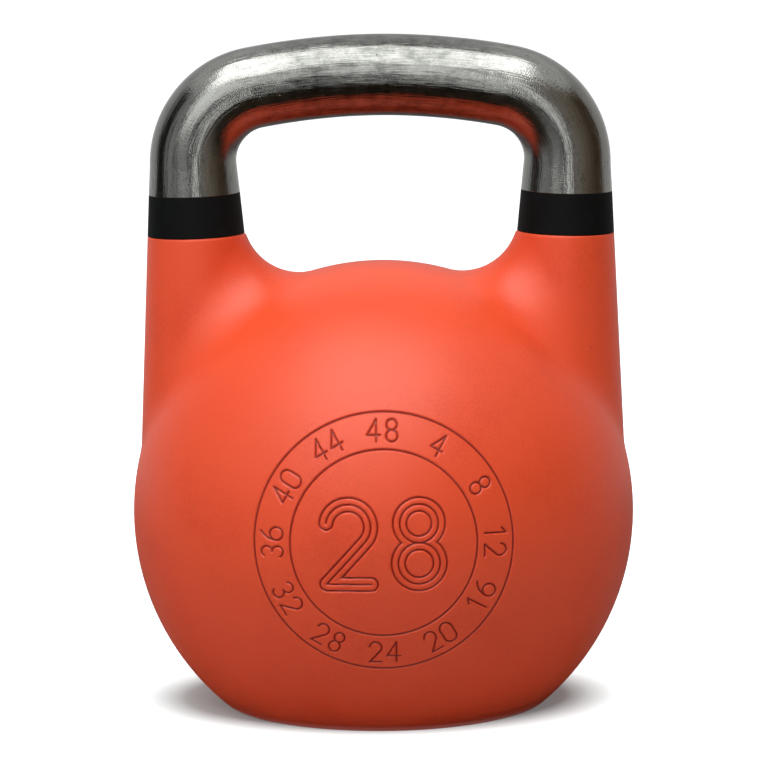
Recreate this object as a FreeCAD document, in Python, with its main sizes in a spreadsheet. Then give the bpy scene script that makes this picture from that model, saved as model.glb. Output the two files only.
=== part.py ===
"""Kettlebell, competition pattern, 28 kg: a FreeCAD macro, in millimetres.

The bell is one hollow steel casting: a ball that stands on a flat base, two horns that
rise from it and lean in, and the arched grip bar that joins them.  A black sleeve sits
flush in a seat round each horn.  The hollow is closed from below by a threaded plug on a
gasket, and the plug carries a bolted stack of ballast discs that trims the weight.

Frame: origin on the floor at the centre of the base, +Z up, +X to the right of someone
who faces the front, and the front, with its two engraved rings, faces -Y.
"""

import FreeCAD, Part
import os
import Sketcher

from FreeCAD import Vector

# --------------------------------------------------------------------------- dimensions
# Driving sizes: alias, value, what it is.  Lengths in millimetres, angles in degrees.
SIZES = (
    ("ball_radius", 105, "the ball, 210 across"),
    ("base_radius", 68, "flat base that cuts the ball off, before its rim is rounded"),
    ("base_edge_round", 3, "rounding of the base's rim"),
    ("window_height", 61, "clear way between the ball's top and the grip"),
    ("grip_diameter", 34, "grip bar at its middle"),
    ("arch_radius", 278, "gentle arch of the grip's centreline"),
    ("corner_radius", 31.5, "centreline bend from grip to horn"),
    ("horn_lean", 1.5, "horns' axes spread apart upwards by this angle each"),
    ("horn_top_diameter", 36.3, "horn where the corner runs into it"),
    ("horn_merge_angle", 14.9, "horn's outer side meets the ball, as an angle above level"),
    ("horn_foot_diameter", 53.5, "horn's cone where it meets the ball there"),
    ("horn_root", 10, "how far the cone goes on inside the ball"),
    ("root_fillet", 24, "blend between horn and ball"),
    ("band_drop", 12, "horn's top down to the black sleeve, along the horn"),
    ("band_width", 17, "sleeve's length along the horn"),
    ("band_thickness", 1.2, "sleeve's wall"),
    ("band_bond", 0.1, "glue film behind and beside the sleeve"),
    ("emblem_lift", 2.25, "rings' axis above the level, as an angle"),
    ("outer_ring_radius", 51.8, "outer engraved ring"),
    ("inner_ring_radius", 37.4, "inner engraved ring"),
    ("ring_cutter_radius", 0.65, "round-nosed cutter of the rings"),
    ("wall_thickness", 32.9, "ball's side wall round the hollow, which sets the weight"),
    ("rim_width", 23, "standing rim round the hollowed underside, with its rounding"),
    ("recess_depth", 2.5, "how far the underside is hollowed"),
    ("lip_thickness", 5, "casting left above the gasket at the port's mouth"),
    ("port_gap", 1, "ballast disc's rim to the port that it passes"),
    ("ledge_width", 5, "casting's ledge for the gasket, beyond the port"),
    ("plug_thickness", 10, "plug's flange"),
    ("plug_setback", 1.5, "plug's face above the underside"),
    ("plug_gap", 0.2, "radial gap round the plug's thread"),
    ("plug_bevel", 1, "bevel of the plug's rim"),
    ("neck_inset", 5, "plug's neck inside the rim of the disc that it carries"),
    ("neck_height", 14, "neck above the flange"),
    ("spanner_hole_radius", 3.5, "holes for a pin spanner"),
    ("spanner_hole_depth", 6, "depth of those holes"),
    ("spanner_hole_land", 6.5, "steel between those holes and the bolt head's pocket"),
    ("gasket_thickness", 1.5, "gasket, pressed"),
    ("gasket_margin", 0.5, "gasket's edge to the walls beside it"),
    ("bolt_radius", 6, "ballast bolt's shank"),
    ("bolt_head_overhang", 3, "its socket head beyond the shank"),
    ("bolt_head_height", 12, "its socket head"),
    ("bolt_tail", 3, "shank beyond the nut"),
    ("bolt_hole_gap", 0.5, "radial gap round the shank"),
    ("thread_gap", 0.1, "radial gap between nut and shank"),
    ("socket_flats", 10, "across the flats of the bolt's socket"),
    ("socket_depth", 6, "depth of the bolt's socket"),
    ("head_gap", 1, "radial gap round the bolt's head in its pocket"),
    ("seal_thickness", 1.5, "sealing washer under the head"),
    ("seal_margin", 0.3, "sealing washer's rim to its pocket"),
    ("cap_thickness", 2, "cap over the bolt's head"),
    ("cap_gap", 0.1, "radial gap round the cap"),
    ("disc_radius", 25, "ballast disc"),
    ("disc_thickness", 12, "ballast disc"),
    ("disc_bevel", 1, "bevel of its rims"),
    ("flat_washer_overhang", 6, "flat washer beyond the shank"),
    ("flat_washer_thickness", 2.5, "flat washer"),
    ("spring_washer_overhang", 4.5, "spring washer beyond the shank"),
    ("spring_washer_thickness", 3, "spring washer, pressed flat"),
    ("nut_wall", 3.5, "nut between its flats and the shank"),
    ("nut_height", 10, "nut"),
    ("lock_screw_radius", 3, "grub screws in the plug's joint"),
    ("lock_screw_length", 8, "their length"),
    ("lock_screw_gap", 0.1, "gap round them"),
    ("lock_socket_flats", 3, "across the flats of their sockets"),
    ("lock_socket_depth", 3.5, "depth of their sockets"),
)

# Worked out from the sizes: alias, formula.  Each may use those above it.
PLACES = (
    ("ball_centre_height", "sqrt(sizes.ball_radius ^ 2 - sizes.base_radius ^ 2)"),
    ("ball_top", "ball_centre_height + sizes.ball_radius"),
    ("overall_height", "ball_top + sizes.window_height + sizes.grip_diameter"),
    ("grip_radius", "sizes.grip_diameter / 2"),
    ("arch_centre_height", "overall_height - grip_radius - sizes.arch_radius"),
    ("bend_radius", "sizes.arch_radius - sizes.corner_radius"),
    ("horn_top_radius", "sizes.horn_top_diameter / 2"),
    ("horn_foot_radius", "sizes.horn_foot_diameter / 2"),
    ("horn_foot_side", "sizes.ball_radius * cos(sizes.horn_merge_angle) - horn_foot_radius"),
    ("horn_foot_height", "ball_centre_height"
                         " + sizes.ball_radius * sin(sizes.horn_merge_angle)"),
    # The horn's axis, moved in by the bend's radius, meets the arch moved in as far at the
    # bend's centre.  These three place that line's foot as seen from the arch's centre.
    ("foot_across", "horn_foot_side - sizes.corner_radius * cos(sizes.horn_lean)"),
    ("foot_up", "horn_foot_height + sizes.corner_radius * sin(sizes.horn_lean)"
                " - arch_centre_height"),
    ("foot_along", "foot_across * sin(sizes.horn_lean) + foot_up * cos(sizes.horn_lean)"),
    ("horn_length", "sqrt(foot_along ^ 2 - foot_across ^ 2 - foot_up ^ 2 + bend_radius ^ 2)"
                    " - foot_along"),
    ("corner_centre_side", "foot_across + horn_length * sin(sizes.horn_lean)"),
    ("corner_centre_height", "arch_centre_height + foot_up"
                             " + horn_length * cos(sizes.horn_lean)"),
    ("corner_angle", "asin(corner_centre_side / bend_radius)"),
    ("horn_slope", "(horn_foot_radius - horn_top_radius) / horn_length"),
    ("band_foot", "horn_length - sizes.band_drop - sizes.band_width"),
    ("port_radius", "sizes.disc_radius + sizes.port_gap"),
    ("plug_radius", "port_radius + sizes.ledge_width"),
    ("plug_well_radius", "plug_radius + sizes.plug_gap"),
    ("neck_radius", "sizes.disc_radius - sizes.neck_inset"),
    ("joint_radius", "plug_radius + sizes.plug_gap / 2"),
    ("recess_radius", "sizes.base_radius - sizes.rim_width"),
    ("plug_face", "sizes.recess_depth + sizes.plug_setback"),
    ("flange_top", "plug_face + sizes.plug_thickness"),
    ("ledge_height", "flange_top + sizes.gasket_thickness"),
    ("neck_top", "flange_top + sizes.neck_height"),
    ("cavity_radius", "sizes.ball_radius - sizes.wall_thickness"),
    ("cavity_half_chord", "sqrt(cavity_radius ^ 2 - port_radius ^ 2)"),
    ("cavity_centre_height", "ledge_height + sizes.lip_thickness + cavity_half_chord"),
    ("head_radius", "sizes.bolt_radius + sizes.bolt_head_overhang"),
    ("pocket_radius", "head_radius + sizes.head_gap"),
    ("head_foot", "plug_face + sizes.cap_thickness"),
    ("head_top", "head_foot + sizes.bolt_head_height"),
    ("seal_top", "head_top + sizes.seal_thickness"),
    ("bolt_hole_radius", "sizes.bolt_radius + sizes.bolt_hole_gap"),
    ("spanner_hole_pitch", "pocket_radius + sizes.spanner_hole_land"
                           " + sizes.spanner_hole_radius"),
)

DISC_NAMES = ("lower", "middle", "upper")
LOCK_SCREW_COUNT = 3
SPANNER_HOLE_COUNT = 2
FRONT_TURN = 90  # the first of a ring of holes lies on the bell's middle plane
LEFT, RIGHT = -1, 1
CUT_MARGIN = 1  # how far a cutting tool runs past the surface that it opens
SEAM_BEHIND = "90"  # spin that puts a round surface's seam at the back of the bell

doc = FreeCAD.newDocument("kettlebell")


# ------------------------------------------------------------------------------ helpers
def fill_sheet(name, rows, as_formula):
    """Write alias and value rows to a new spreadsheet and return it."""
    sheet = doc.addObject("Spreadsheet::Sheet", name)
    for number, row in enumerate(rows, 1):
        sheet.set(f"A{number}", row[0])
        sheet.set(f"B{number}", f"={row[1]}" if as_formula else str(row[1]))
        sheet.setAlias(f"B{number}", row[0])
        if len(row) > 2:
            sheet.set(f"C{number}", row[2])
        doc.recompute()
    return sheet


def add(kind, name, **bound):
    """Add an object whose named properties are bound to expressions."""
    made = doc.addObject(kind, name)
    for prop, expression in bound.items():
        made.setExpression(prop, str(expression))
    return made


def placed(side="0", depth="0", height="0", tilt="0", axis="0; 1; 0", spin="0"):
    """Give the expression of a placement: a point, a turn about an axis, and a spin."""
    return (f"placement(vector({side}; {depth}; {height}); rotation(vector({axis}); {tilt}))"
            f" * placement(vector(0; 0; 0); rotation(vector(0; 0; 1); {spin}))")


def cut(name, base, *tools):
    """Cut the tools from the base."""
    made = doc.addObject("Part::Cut", name)
    made.Base = base
    made.Tool = tools[0] if len(tools) == 1 else fuse(f"{name}_tools", *tools)
    return made


def fuse(name, *shapes):
    """Fuse the shapes to one."""
    made = doc.addObject("Part::MultiFuse", name)
    made.Shapes = list(shapes)
    made.Refine = True
    return made


def cylinder(name, radius, low, high, side="0", depth="0"):
    """Add an upright cylinder between two heights."""
    return add("Part::Cylinder", name, Radius=radius, Height=f"({high}) - ({low})",
               Placement=placed(side, depth, low))


def hexagon(name, flats, low, high, side="0", depth="0"):
    """Add an upright hexagonal prism of a size across its flats."""
    made = add("Part::Prism", name, Circumradius=f"({flats}) / 2 / cos(30)",
               Height=f"({high}) - ({low})", Placement=placed(side, depth, low))
    made.Polygon = 6
    return made


def turned(name, outline):
    """Make a body by turning a closed outline, given as (radius, height) expressions."""
    body = doc.addObject("PartDesign::Body", name)
    sketch = body.newObject("Sketcher::SketchObject", f"{name}_outline")
    upright = next(f for f in body.Origin.OriginFeatures if f.Role == "XZ_Plane")
    sketch.AttachmentSupport = [(upright, "")]
    sketch.MapMode = "FlatFace"
    outline = [(str(radius), str(height)) for radius, height in outline]
    corners = [Vector(sketch.evalExpression(radius), sketch.evalExpression(height), 0)
               for radius, height in outline]
    following = corners[1:] + corners[:1]
    for start, end in zip(corners, following):
        sketch.addGeometry(Part.LineSegment(start, end))
    for line, (radius, height) in enumerate(outline):
        after = (line + 1) % len(outline)
        sketch.addConstraint(Sketcher.Constraint("Coincident", line, 2, after, 1))
        pin_coordinate(sketch, line, "DistanceX", radius, corners[line].x)
        pin_coordinate(sketch, line, "DistanceY", height, corners[line].y)
    turn = body.newObject("PartDesign::Revolution", f"{name}_turn")
    turn.Profile = sketch
    turn.ReferenceAxis = (sketch, ["V_Axis"])
    turn.Angle = 360
    return body


def pin_coordinate(sketch, line, kind, expression, value):
    """Hold the start of a line at a distance from the sketch's origin."""
    if kind == "DistanceX" and value == 0:
        sketch.addConstraint(Sketcher.Constraint("PointOnObject", line, 1, -2))
        return
    index = sketch.addConstraint(Sketcher.Constraint(kind, -1, 1, line, 1, value))
    sketch.setExpression(f"Constraints[{index}]", expression)


def washer(name, bore, rim, low, high):
    """Turn a flat ring between two heights."""
    return turned(name, [(bore, low), (rim, low), (rim, high), (bore, high)])


def edges_between(shape, *kinds):
    """Name the edges whose two faces are of the given surface kinds."""
    wanted = sorted(kinds)
    names = []
    for number, edge in enumerate(shape.Edges, 1):
        faces = shape.ancestorsOfType(edge, Part.Face)
        if sorted(type(face.Surface).__name__ for face in faces) == wanted:
            names.append(f"Edge{number}")
    return names


def rounded(body, name, edges, radius):
    """Round the named edges of a body's last feature."""
    before = body.Tip
    made = body.newObject("PartDesign::Fillet", name)
    made.Base = (before, edges)
    made.setExpression("Radius", radius)
    doc.recompute()
    return made


# ------------------------------------------------------------------------- the casting
def horn(name, side, foot, length, inset="0"):
    """Make a stretch of a horn's cone, from foot along its axis, thinned by inset."""
    lean = "sizes.horn_lean"
    radius = f"places.horn_foot_radius - ({{}}) * places.horn_slope - ({inset})"
    return add("Part::Cone", name, Height=length,
               Radius1=radius.format(foot), Radius2=radius.format(f"{foot} + {length}"),
               Placement=placed(f"{side} * (places.horn_foot_side + ({foot}) * sin({lean}))",
                                height=f"places.horn_foot_height + ({foot}) * cos({lean})",
                                tilt=f"{side} * {lean}", spin=SEAM_BEHIND))


def ball_with_horns():
    """Make the ball and both horns, with the blends between them and the base's rim."""
    ball = add("Part::Sphere", "ball", Radius="sizes.ball_radius",
               Angle1="-asin(places.ball_centre_height / sizes.ball_radius)",
               Placement=placed(height="places.ball_centre_height", spin=SEAM_BEHIND))
    whole = ("-sizes.horn_root", "places.horn_length + sizes.horn_root")
    horns = [horn("left_horn", LEFT, *whole), horn("right_horn", RIGHT, *whole)]
    joined = fuse("ball_and_horns", ball, *horns)
    doc.recompute()
    body = doc.addObject("PartDesign::Body", "blended_ball")
    body.BaseFeature = joined
    doc.recompute()
    rim = edges_between(body.Shape, "Plane", "Sphere")
    rounded(body, "base_rim", rim, "sizes.base_edge_round")
    roots = edges_between(body.Shape, "Cone", "Sphere")
    rounded(body, "root_blend", roots, "sizes.root_fillet")
    return body


def arc(name, radius, side, height, first, last):
    """Make an arc that stands in the plane of the handle, first and last as angles."""
    return add("Part::Circle", name, Radius=radius, Angle1=first, Angle2=last,
               Placement=placed(side, height=height, tilt="90", axis="1; 0; 0"))


def grip_section(name, radius, path_radius, side, height, angle):
    """Make a round section square to an arc of the handle, at an angle round it."""
    across = f"{side} + {path_radius} * cos({angle})"
    up = f"{height} + {path_radius} * sin({angle})"
    return add("Part::Circle", name, Radius=radius,
               Placement=placed(across, height=up, tilt=f"-({angle})"))


def grip_bow():
    """Sweep the grip and its two corners, which thicken towards the horns."""
    arch = ("sizes.arch_radius", "0", "places.arch_centre_height")
    low_end = "-sizes.horn_lean * 1 deg"
    high_end = "90 deg - places.corner_angle"
    corners = [("sizes.corner_radius", f"{side} * places.corner_centre_side",
                "places.corner_centre_height") for side in (RIGHT, LEFT)]
    path = doc.addObject("Part::Compound", "grip_path")
    path.Links = [
        arc("right_corner_path", *corners[0], low_end, high_end),
        arc("arch_path", *arch, high_end, f"180 deg - ({high_end})"),
        arc("left_corner_path", *corners[1], f"180 deg - ({high_end})",
            f"180 deg - ({low_end})"),
    ]
    stations = (
        ("right_top", "places.horn_top_radius", corners[0], low_end),
        ("right_arch", "places.grip_radius", arch, high_end),
        ("middle", "places.grip_radius", arch, "90 deg"),
        ("left_arch", "places.grip_radius", arch, f"180 deg - ({high_end})"),
        ("left_top", "places.horn_top_radius", corners[1], f"180 deg - ({low_end})"),
    )
    bow = doc.addObject("Part::Sweep", "grip_bow")
    bow.Sections = [grip_section(f"section_{name}", radius, *centre, angle)
                    for name, radius, centre, angle in stations]
    bow.Spine = (path, ["Edge1", "Edge2", "Edge3"])
    bow.Solid = True
    return bow


def engraved_ring(name, radius):
    """Make the round-nosed cutter's path for a ring on the ball's front."""
    reach = f"sqrt(sizes.ball_radius ^ 2 - {radius} ^ 2)"
    lift = "sizes.emblem_lift"
    return add("Part::Torus", name, Radius1=radius, Radius2="sizes.ring_cutter_radius",
               Placement=placed(depth=f"-{reach} * cos({lift})",
                                height=f"places.ball_centre_height + {reach} * sin({lift})",
                                tilt=f"90 - {lift}", axis="1; 0; 0"))


def band_seat(name, side):
    """Make the ring that is turned out of a horn to seat its sleeve flush."""
    foot = "places.band_foot - sizes.band_bond"
    length = "sizes.band_width + 2 * sizes.band_bond"
    core = horn(f"{name}_core", side, foot, length, "sizes.band_thickness + sizes.band_bond")
    return cut(name, horn(f"{name}_blank", side, foot, length, f"-{CUT_MARGIN}"), core)


def ring_of_spots(radius, count):
    """Give evenly spaced places round the bell's axis, as (side, depth) expressions."""
    turns = [FRONT_TURN + 360 * number / count for number in range(count)]
    return [(f"{radius} * cos({turn})", f"{radius} * sin({turn})") for turn in turns]


def lock_screw_spots():
    """Give the lock screws' places on the joint between plug and casting."""
    return ring_of_spots("places.joint_radius", LOCK_SCREW_COUNT)


def lock_screw_holes(name):
    """Make the holes of the lock screws, half in the plug and half in the casting."""
    return [cylinder(f"{name}_{number}", "sizes.lock_screw_radius + sizes.lock_screw_gap",
                     "0", "places.plug_face + sizes.lock_screw_length", *spot)
            for number, spot in enumerate(lock_screw_spots(), 1)]


def bell_casting():
    """Make the one-piece casting, with its hollow, port, seats and engraved rings."""
    solid = fuse("solid_bell", ball_with_horns(), grip_bow())
    cavity = add("Part::Sphere", "cavity", Radius="places.cavity_radius",
                 Placement=placed(height="places.cavity_centre_height"))
    recess, port = "places.recess_radius", "places.port_radius"
    well, ledge = "places.plug_well_radius", "places.ledge_height"
    port_way = turned("port_way", [
        ("0", -CUT_MARGIN), (recess, -CUT_MARGIN), (recess, "sizes.recess_depth"),
        (well, "sizes.recess_depth"), (well, ledge), (port, ledge),
        (port, "places.cavity_centre_height"), ("0", "places.cavity_centre_height"),
    ])
    return cut("bell_casting", solid, cavity, port_way,
               band_seat("left_seat", LEFT), band_seat("right_seat", RIGHT),
               engraved_ring("outer_ring", "sizes.outer_ring_radius"),
               engraved_ring("inner_ring", "sizes.inner_ring_radius"),
               *lock_screw_holes("casting_lock_hole"))


def band(name, side):
    """Make the black sleeve that lies flush in a horn's seat."""
    foot, width = "places.band_foot", "sizes.band_width"
    return cut(name, horn(f"{name}_blank", side, foot, width),
               horn(f"{name}_bore", side, foot, width, "sizes.band_thickness"))


# ---------------------------------------------------------------- plug, seals, ballast
def base_plug():
    """Make the threaded plug: a flange on the gasket and a neck under the ballast."""
    rim, neck, bevel = "places.plug_radius", "places.neck_radius", "sizes.plug_bevel"
    pocket, hole = "places.pocket_radius", "places.bolt_hole_radius"
    face, flange, top = "places.plug_face", "places.flange_top", "places.neck_top"
    blank = turned("plug_blank", [
        (pocket, face), (f"{rim} - {bevel}", face), (rim, f"{face} + {bevel}"),
        (rim, flange), (neck, flange), (neck, top), (hole, top),
        (hole, "places.seal_top"), (pocket, "places.seal_top"),
    ])
    spots = ring_of_spots("places.spanner_hole_pitch", SPANNER_HOLE_COUNT)
    holes = [cylinder(f"spanner_hole_{number}", "sizes.spanner_hole_radius",
                      f"{face} - {CUT_MARGIN}", f"{face} + sizes.spanner_hole_depth", *spot)
             for number, spot in enumerate(spots, 1)]
    return cut("base_plug", blank, *holes, *lock_screw_holes("plug_lock_hole"))


def plug_gasket():
    """Make the gasket between the plug's flange and the casting's ledge."""
    return washer("plug_gasket", "places.port_radius + sizes.gasket_margin",
                  "places.plug_well_radius - sizes.gasket_margin",
                  "places.flange_top", "places.ledge_height")


def plug_lock_screws():
    """Make the grub screws that stop the plug from turning, as separate solids."""
    foot = "places.plug_face"
    screws = []
    for number, spot in enumerate(lock_screw_spots(), 1):
        blank = cylinder(f"grub_blank_{number}", "sizes.lock_screw_radius",
                         foot, f"{foot} + sizes.lock_screw_length", *spot)
        socket = hexagon(f"grub_socket_{number}", "sizes.lock_socket_flats",
                         foot, f"{foot} + sizes.lock_socket_depth", *spot)
        screws.append(cut(f"grub_screw_{number}", blank, socket))
    group = doc.addObject("Part::Compound", "plug_lock_screws")
    group.Links = screws
    return group


def ballast_stack():
    """Make what the plug's neck carries, from the first disc up to the bolt's tail."""
    made = []
    hole, rim, bevel = "places.bolt_hole_radius", "sizes.disc_radius", "sizes.disc_bevel"
    low = "places.neck_top"
    for name in DISC_NAMES:
        high = f"{low} + sizes.disc_thickness"
        made.append(turned(f"ballast_disc_{name}", [
            (hole, low), (f"{rim} - {bevel}", low), (rim, f"{low} + {bevel}"),
            (rim, f"{high} - {bevel}"), (f"{rim} - {bevel}", high), (hole, high),
        ]))
        low = high
    for name in ("flat_washer", "spring_washer"):
        high = f"{low} + sizes.{name}_thickness"
        made.append(washer(name, hole, f"sizes.bolt_radius + sizes.{name}_overhang", low, high))
        low = high
    high = f"{low} + sizes.nut_height"
    nut_bore = cylinder("nut_bore", "sizes.bolt_radius + sizes.thread_gap", low, high)
    nut_flats = "2 * (sizes.bolt_radius + sizes.nut_wall)"
    made.append(cut("ballast_nut", hexagon("nut_blank", nut_flats, low, high), nut_bore))
    made.append(ballast_bolt(f"{high} + sizes.bolt_tail"))
    return made


def ballast_bolt(tail):
    """Make the socket-head bolt that rises through the plug and its ballast."""
    head, shank = "places.head_radius", "sizes.bolt_radius"
    foot, top = "places.head_foot", "places.head_top"
    blank = turned("bolt_blank", [
        ("0", foot), (head, foot), (head, top), (shank, top), (shank, tail), ("0", tail),
    ])
    socket = hexagon("bolt_socket", "sizes.socket_flats", foot,
                     f"{foot} + sizes.socket_depth")
    return cut("ballast_bolt", blank, socket)


def head_seals():
    """Make the sealing washer behind the bolt's head and the cap in front of it."""
    seal = washer("bolt_seal", "places.bolt_hole_radius",
                  "places.pocket_radius - sizes.seal_margin",
                  "places.head_top", "places.seal_top")
    rim = "places.pocket_radius - sizes.cap_gap"
    cap = turned("bolt_cap", [("0", "places.plug_face"), (rim, "places.plug_face"),
                              (rim, "places.head_foot"), ("0", "places.head_foot")])
    return [seal, cap]


# -------------------------------------------------------------------- checks and export
def check(nodes):
    """Stop if any object failed or any sub-part has no sound shape."""
    failed = [made.Label for made in doc.Objects
              if "Invalid" in made.State or "Error" in made.State]
    unsound = [node.Label for node in nodes
               if node.Shape.isNull() or not node.Shape.isValid() or not node.Shape.Solids]
    if failed or unsound:
        raise RuntimeError(f"failed objects {failed}, unsound sub-parts {unsound}")


def main():
    """Build every sub-part, check them and write one STEP file for each."""
    fill_sheet("sizes", SIZES, as_formula=False)
    fill_sheet("places", PLACES, as_formula=True)
    nodes = [bell_casting(), band("left_band", LEFT), band("right_band", RIGHT),
             base_plug(), plug_gasket(), plug_lock_screws(),
             *ballast_stack(), *head_seals()]
    doc.recompute()
    check(nodes)
    os.makedirs("parts", exist_ok=True)
    for node in nodes:
        node.Shape.exportStep(f"parts/{node.Label}.step")
        print(f"{node.Label}: {len(node.Shape.Solids)} solid(s), "
              f"{node.Shape.Volume:.1f} cubic mm")


main()
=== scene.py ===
"""The looks of a competition kettlebell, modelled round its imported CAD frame.

One steel casting makes the ball, the two horns and the grip bar.  Its lower part is powder
coated in orange-red, its grip is ground bare, and a black sleeve sits flush in a seat round
each horn.  A dial of plain numbers is engraved in the front.  Lengths are in metres and in
the frame's own place: the origin is under the base's centre, +Z is up and the front faces -Y.
"""

import logging
import math
from collections.abc import Callable, Iterable, Sequence
from dataclasses import dataclass, field
from enum import Enum

import bmesh
import bpy
import numpy as np
from bmesh.types import BMEdge, BMesh, BMLayerItem, BMVert
from bpy.types import Material, Node, NodeSocket, NodeTree, Object
from mathutils import Matrix, Vector, noise


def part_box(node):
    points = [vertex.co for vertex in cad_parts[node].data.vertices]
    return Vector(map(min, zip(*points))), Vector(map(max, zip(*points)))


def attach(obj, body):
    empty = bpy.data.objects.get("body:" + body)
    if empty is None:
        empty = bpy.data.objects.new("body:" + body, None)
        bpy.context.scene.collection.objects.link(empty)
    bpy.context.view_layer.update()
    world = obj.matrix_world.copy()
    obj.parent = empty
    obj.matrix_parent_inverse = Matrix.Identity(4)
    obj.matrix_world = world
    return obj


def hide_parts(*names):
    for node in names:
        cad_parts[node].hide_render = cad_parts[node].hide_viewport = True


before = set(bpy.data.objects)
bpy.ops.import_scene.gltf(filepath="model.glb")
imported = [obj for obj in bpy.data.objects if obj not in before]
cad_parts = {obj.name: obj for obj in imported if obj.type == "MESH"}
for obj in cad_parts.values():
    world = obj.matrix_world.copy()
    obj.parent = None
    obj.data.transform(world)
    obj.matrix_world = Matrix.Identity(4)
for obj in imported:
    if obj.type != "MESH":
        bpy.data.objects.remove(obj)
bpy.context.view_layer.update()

LOG = logging.getLogger("kettlebell")
MM = 0.001
BACKWARDS = Vector((0, 1, 0))
UPWARDS = Vector((0, 0, 1))
SMOOTH_UNDER = math.radians(58)


class Side(Enum):
    """The left and right of someone who faces the front, as the sign of x."""

    LEFT = -1
    RIGHT = 1


# ------------------------------------------------------------------------------ sizes


@dataclass(frozen=True)
class HornAxis:
    """One horn's centre line and taper.

    Attributes:
        foot: Point on the axis level with the horn's foot.
        direction: Unit vector up the horn.
        foot_radius: Radius of the horn at its foot.
        slope: Radius lost for each metre up the axis.
    """

    foot: Vector
    direction: Vector
    foot_radius: float
    slope: float

    def point(self, along: float) -> Vector:
        """The point on the axis at a distance from the foot."""
        return self.foot + self.direction * along

    def radius(self, along: float) -> float:
        """The horn's radius at a distance from the foot."""
        return self.foot_radius - self.slope * along

    def place(self, along: float) -> Matrix:
        """A frame on the axis, with Z up the horn."""
        return upright_frame(self.point(along), self.direction)


@dataclass(frozen=True)
class BellShape:
    """The casting's driving sizes, and the places that follow from them."""

    ball_radius: float = 105 * MM
    base_radius: float = 68 * MM
    base_edge_round: float = 3 * MM
    window_height: float = 61 * MM
    grip_diameter: float = 34 * MM
    arch_radius: float = 278 * MM
    corner_radius: float = 31.5 * MM
    horn_lean: float = math.radians(1.5)
    horn_top_radius: float = 18.15 * MM
    horn_merge_angle: float = math.radians(14.9)
    horn_foot_radius: float = 26.75 * MM
    root_fillet: float = 24 * MM
    band_drop: float = 12 * MM
    band_width: float = 17 * MM
    band_thickness: float = 1.2 * MM
    band_bond: float = 0.1 * MM

    @property
    def ball_centre(self) -> Vector:
        """The ball's centre, above the flat base that cuts the ball off."""
        return Vector((0, 0, math.sqrt(self.ball_radius**2 - self.base_radius**2)))

    @property
    def grip_radius(self) -> float:
        """Radius of the grip bar at its middle."""
        return self.grip_diameter / 2

    @property
    def overall_height(self) -> float:
        """From the floor to the top of the grip."""
        return self.ball_centre.z + self.ball_radius + self.window_height + self.grip_diameter

    @property
    def arch_centre_height(self) -> float:
        """Height of the centre of the grip's gentle arch."""
        return self.overall_height - self.grip_radius - self.arch_radius

    @property
    def horn_length(self) -> float:
        """From the horn's foot to the bend, where the bend's circle touches horn and arch."""
        lean = self.horn_lean
        across = self._foot.x - self.corner_radius * math.cos(lean)
        up = self._foot.z + self.corner_radius * math.sin(lean) - self.arch_centre_height
        along = across * math.sin(lean) + up * math.cos(lean)
        reach = (self.arch_radius - self.corner_radius) ** 2 - across**2 - up**2
        return math.sqrt(along**2 + reach) - along

    @property
    def _foot(self) -> Vector:
        """The right horn's foot."""
        rise = self.horn_merge_angle
        return Vector((self.ball_radius * math.cos(rise) - self.horn_foot_radius, 0,
                       self.ball_centre.z + self.ball_radius * math.sin(rise)))

    @property
    def corner_centre(self) -> Vector:
        """Centre of the right-hand bend."""
        inwards = Vector((-math.cos(self.horn_lean), 0, math.sin(self.horn_lean)))
        return self.horn(Side.RIGHT).point(self.horn_length) + inwards * self.corner_radius

    @property
    def corner_angle(self) -> float:
        """Half of the arch's sweep."""
        return math.asin(self.corner_centre.x / (self.arch_radius - self.corner_radius))

    @property
    def band_foot(self) -> float:
        """From the horn's foot to the sleeve's lower edge, along the horn."""
        return self.horn_length - self.band_drop - self.band_width

    @property
    def band_head(self) -> float:
        """From the horn's foot to the sleeve's upper edge, along the horn."""
        return self.band_foot + self.band_width

    @property
    def band_middle(self) -> float:
        """From the horn's foot to the middle of the sleeve, along the horn."""
        return self.band_foot + self.band_width / 2

    @property
    def seat_depth(self) -> float:
        """How far the sleeve's seat is cut into the horn."""
        return self.band_thickness + self.band_bond

    def horn(self, side: Side) -> HornAxis:
        """One horn's axis and taper."""
        lean = self.horn_lean
        foot = self._foot
        foot.x *= side.value
        direction = Vector((side.value * math.sin(lean), 0, math.cos(lean)))
        slope = (self.horn_foot_radius - self.horn_top_radius) / self.horn_length
        return HornAxis(foot, direction, self.horn_foot_radius, slope)

    def check_against_frame(self) -> None:
        """Stops the script if the casting in the frame hasn't these sizes.

        Raises:
            ValueError: A size differs from the frame by more than 0.3 mm.
        """
        low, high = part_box("bell_casting")
        pairs = {
            "height": (high.z - low.z, self.overall_height),
            "width": (high.x - low.x, 2 * self.ball_radius),
            "sleeve's height": (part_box("right_band")[1].x,
                                self.horn(Side.RIGHT).point(self.band_foot).x
                                + self.horn(Side.RIGHT).radius(self.band_foot)),
        }
        for name, (found, wanted) in pairs.items():
            if abs(found - wanted) > 0.3 * MM:
                raise ValueError(f"{name}: {found:.5f} in the frame, {wanted:.5f} here")


# ------------------------------------------------------------------------- mesh tools


def upright_frame(point: Vector, direction: Vector) -> Matrix:
    """A frame in the bell's middle plane.

    Args:
        point: Its origin.
        direction: Unit vector of its Z, somewhere in the XZ plane.

    Returns:
        The frame, with its Y pointing backwards.
    """
    across = BACKWARDS.cross(direction)
    turn = Matrix((across, BACKWARDS, direction)).transposed().to_4x4()
    return Matrix.Translation(point) @ turn


def coordinates(vertices: Sequence[BMVert]) -> np.ndarray:
    """The vertices' places as an array of rows."""
    return np.array([vertex.co for vertex in vertices], float).reshape(-1, 3)


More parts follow.
